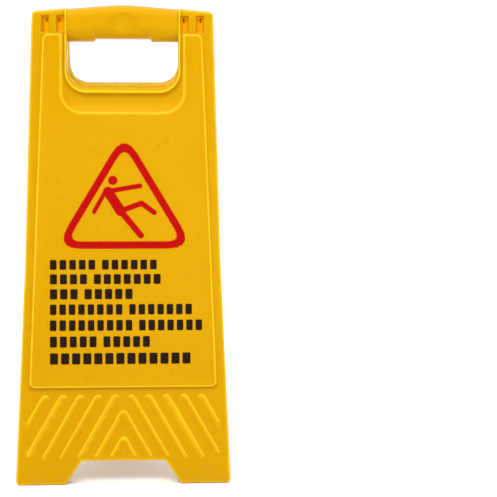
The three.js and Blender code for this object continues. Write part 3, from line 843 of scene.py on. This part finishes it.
def yellow_plastic():
    """Glossy moulded plastic with faint scratches and a little soil at the feet, plus painted light:
    highlights along the raised edges (partly edge wear), shade in the creases and brighter bounce light
    in the hinge pockets.
    """
    g = Graph("moulded_yellow_plastic")
    broad = g.noise(5.0, 2)
    colour = g.ramp(broad, [(0.3, YELLOW_DEEP), (0.7, YELLOW_LIGHT)])
    scratches = g.noise(900, 2, 0.6, (0.03, 1, 1))
    scratch_mask = g.span(scratches, 0.70, 0.82, 0, 0.25)
    patches = g.span(g.noise(14, 2), 0.45, 0.85, 0, 1)
    scratched = g.math("MULTIPLY", scratch_mask, patches)
    colour = g.mix(scratched, colour, YELLOW_SCRATCHED)
    # Painted highlight, partly edge wear, along the raised edges and on the bay's back rim, made uneven
    # by noise.
    uneven = g.span(g.noise(45, 3), 0.3, 0.7, 0.7, 1.0)
    wear_and_highlight = g.math("MULTIPLY", g.painted("wear_and_painted_highlight"), uneven)
    colour = g.mix(wear_and_highlight, colour, YELLOW_WORN_AND_HIGHLIGHTED)
    # Painted shade in the creases beside the lip and under the field.
    colour = g.mix(g.painted("painted_groove_shade"), colour, YELLOW_CREASE_SHADE)
    # Painted bounce light: the hinge pockets are given a brighter orange.
    colour = g.mix(g.painted("painted_pocket_bounce"), colour, YELLOW_POCKET_BOUNCE)
    split = g.tree.nodes.new("ShaderNodeSeparateXYZ")
    g.link(g.place, split.inputs[0])
    near_floor = g.span(split.outputs["Z"], 0.0, 0.025, 0.3, 0)
    soil = g.math("MULTIPLY", near_floor, g.span(g.noise(60, 4), 0.4, 0.65, 0, 1))
    colour = g.mix(soil, colour, SOIL)
    g.link(colour, g.shader.inputs["Base Color"])
    gloss = g.span(g.noise(30, 4), 0.2, 0.8, 0.26, 0.32)
    gloss = g.math("ADD", gloss, g.math("MULTIPLY", scratched, 0.12))
    g.link(gloss, g.shader.inputs["Roughness"])
    grain = g.noise(1500, 2, 0.5)
    peel = g.noise(160, 2, 0.4)
    height = g.math("ADD", g.math("MULTIPLY", grain, 0.35), g.math("MULTIPLY", peel, 0.65))
    g.link(g.bump(height, 0.00012, 0.5), g.shader.inputs["Normal"])
    g.shader.inputs["IOR"].default_value = 1.49
    g.shader.inputs["Specular IOR Level"].default_value = 0.32
    g.shader.inputs["Specular Tint"].default_value = (1.0, 0.72, 0.06, 1)
    g.shader.inputs["Subsurface Weight"].default_value = 0.12
    g.shader.inputs["Subsurface Radius"].default_value = (1.0, 0.55, 0.08)
    g.shader.inputs["Subsurface Scale"].default_value = 0.003
    return g.material


def ink(name, dark, light, roughness, tint):
    """A thin screen-printed ink, slightly mottled."""
    g = Graph(name)
    mottle = g.noise(260, 3, 0.6)
    g.link(g.ramp(mottle, [(0.35, dark), (0.7, light)]), g.shader.inputs["Base Color"])
    gloss = g.span(g.noise(90, 3), 0.3, 0.7, roughness, roughness + 0.12)
    g.link(gloss, g.shader.inputs["Roughness"])
    screen = g.noise(1800, 1)
    g.link(g.bump(screen, 0.00005, 0.4), g.shader.inputs["Normal"])
    g.shader.inputs["Specular IOR Level"].default_value = 0.12
    g.shader.inputs["Specular Tint"].default_value = (*tint, 1)
    return g.material


YELLOW = yellow_plastic()
RED = ink("screen_printed_red", (0.34, 0.0016, 0.0016), (0.39, 0.003, 0.0025), 0.38, (1, 0.2, 0.15))
BLACK = ink("screen_printed_black", (0.007, 0.003, 0.002), (0.012, 0.005, 0.003), 0.42, (1, 0.6, 0.4))


# ---- build ------------------------------------------------------------------

SHELL_MESH = shell_mesh()
GRIP_MESH = grip_mesh()
EARS_MESH = ears_mesh()

for side in ("front", "rear"):
    rear = side == "rear"
    for name, (coords, faces) in (
        ("panel_shell", SHELL_MESH), ("grip_bar", GRIP_MESH), ("hinge_ears", EARS_MESH)
    ):
        placed = to_place(coords[:, 0], coords[:, 1], coords[:, 2], rear)
        piece = add_piece(f"{side}_{name}", placed, faces, YELLOW, side)
        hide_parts(f"{side}_panel")
        # Per-point masks for the painted highlight, painted crease shade and painted pocket bounce light;
        # zero on the grip and ears.
        for measure in (wear_and_painted_highlight, painted_groove_shade, painted_pocket_bounce):
            amount = measure(coords) if name == "panel_shell" else np.zeros(len(coords))
            mask = piece.data.attributes.new(measure.__name__, "FLOAT", "POINT")
            mask.data.foreach_set("value", amount.astype(np.float32))
    for index in range(len(MESSAGE_WORDS)):
        coords, faces = message_mesh(index)
        placed = to_place(coords[:, 0], coords[:, 1], coords[:, 2], rear)
        name = f"{side}_message_marks_{index + 1}"
        piece = add_piece(name, placed, faces, BLACK, side, smooth_faces=False)
        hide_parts(f"{side}_message_line_{index + 1}")

for name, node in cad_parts.items():
    if name.endswith("_panel") or "message_line" in name:
        continue
    node.data.materials.clear()
    node.data.materials.append(YELLOW if "pin" in name else RED)


# ---- floor, light, camera ---------------------------------------------------

SKY_HORIZON, SKY_MIDDLE, SKY_TOP = 1.06, 0.10, 2.7
FOCAL_PX, FRAME_PX, SENSOR_MM = 1372.1, 497.0, 36
EYE = (0.060, -1.8224, 0.636)
EYE_PITCH, EYE_YAW, EYE_ROLL = math.radians(11.121), math.radians(3.344), math.radians(0.444)


def studio():
    """A plain white floor under a soft sky."""
    bpy.ops.mesh.primitive_plane_add(size=120, location=(0, 0, -0.0005))
    floor = bpy.context.object
    floor.name = "studio_floor"
    material = bpy.data.materials.new("studio_floor")
    material.use_nodes = True
    shader = material.node_tree.nodes["Principled BSDF"]
    shader.inputs["Base Color"].default_value = (0.86, 0.86, 0.86, 1)
    shader.inputs["Roughness"].default_value = 0.6
    floor.data.materials.append(material)
    bpy.context.scene.world = studio_sky()
    bpy.context.scene.view_settings.view_transform = "Standard"


def studio_sky():
    """White round the horizon, where it meets the floor, dimmer above and brightest overhead."""
    world = bpy.data.worlds.new("studio")
    world.use_nodes = True
    tree = world.node_tree
    coords = tree.nodes.new("ShaderNodeTexCoord")
    split = tree.nodes.new("ShaderNodeSeparateXYZ")
    ramp = tree.nodes.new("ShaderNodeValToRGB")
    tree.links.new(coords.outputs["Generated"], split.inputs[0])
    tree.links.new(split.outputs["Z"], ramp.inputs["Fac"])
    tree.links.new(ramp.outputs["Color"], tree.nodes["Background"].inputs["Color"])
    tree.nodes["Background"].inputs["Strength"].default_value = SKY_TOP
    for _ in range(2):
        ramp.color_ramp.elements.new(0.5)
    levels = ((0.30, SKY_HORIZON), (0.42, SKY_MIDDLE), (0.68, SKY_MIDDLE), (0.78, SKY_TOP))
    for element, (height, level) in zip(ramp.color_ramp.elements, levels):
        element.position = height
        element.color = (level / SKY_TOP, level / SKY_TOP, level / SKY_TOP, 1)
    return world


def softbox(name, place, target, size, power):
    """A soft rectangular lamp facing a target."""
    light = bpy.data.lights.new(name, "AREA")
    light.shape = "RECTANGLE"
    light.size, light.size_y = size
    light.energy = power
    lamp = bpy.data.objects.new(name, light)
    bpy.context.scene.collection.objects.link(lamp)
    lamp.location = place
    aim = Vector(target) - Vector(place)
    lamp.rotation_euler = aim.to_track_quat("-Z", "Y").to_euler()


def camera():
    """Stands where the photograph was taken: a little above the grip, to the sign's right."""
    data = bpy.data.cameras.new("camera")
    data.sensor_width = SENSOR_MM
    data.lens = FOCAL_PX / FRAME_PX * SENSOR_MM
    eye = bpy.data.objects.new("camera", data)
    bpy.context.scene.collection.objects.link(eye)
    pitch, yaw, roll = EYE_PITCH, EYE_YAW, EYE_ROLL
    ahead = Vector((math.sin(yaw) * math.cos(pitch), math.cos(yaw) * math.cos(pitch), -math.sin(pitch)))
    right = Vector((math.cos(yaw), -math.sin(yaw), 0))
    up = right.cross(ahead)
    turned_right = right * math.cos(roll) + up * math.sin(roll)
    turned_up = up * math.cos(roll) - right * math.sin(roll)
    axes = Matrix((turned_right, turned_up, -ahead)).transposed()
    eye.matrix_world = Matrix.Translation(EYE) @ axes.to_4x4()
    bpy.context.scene.camera = eye


studio()
softbox("key_above", (-0.2, -0.75, 1.45), (0, 0, 0.5), (1.1, 0.7), 6.5)
softbox("front_fill", (0.15, -2.3, 0.95), (0, 0, 0.52), (0.8, 0.8), 7)
softbox("back_left", (-0.9, 1.4, 1.3), (0, 0.05, 0.5), (0.6, 0.6), 7)
softbox("back_right", (0.9, 1.4, 1.3), (0, 0.05, 0.5), (0.6, 0.6), 9)
softbox("strip_left", (-1.9, -0.9, 0.9), (0, 0, 0.35), (0.3, 1.5), 6)
softbox("strip_right", (1.9, -0.9, 0.9), (0, 0, 0.35), (0.3, 1.5), 6)
camera()
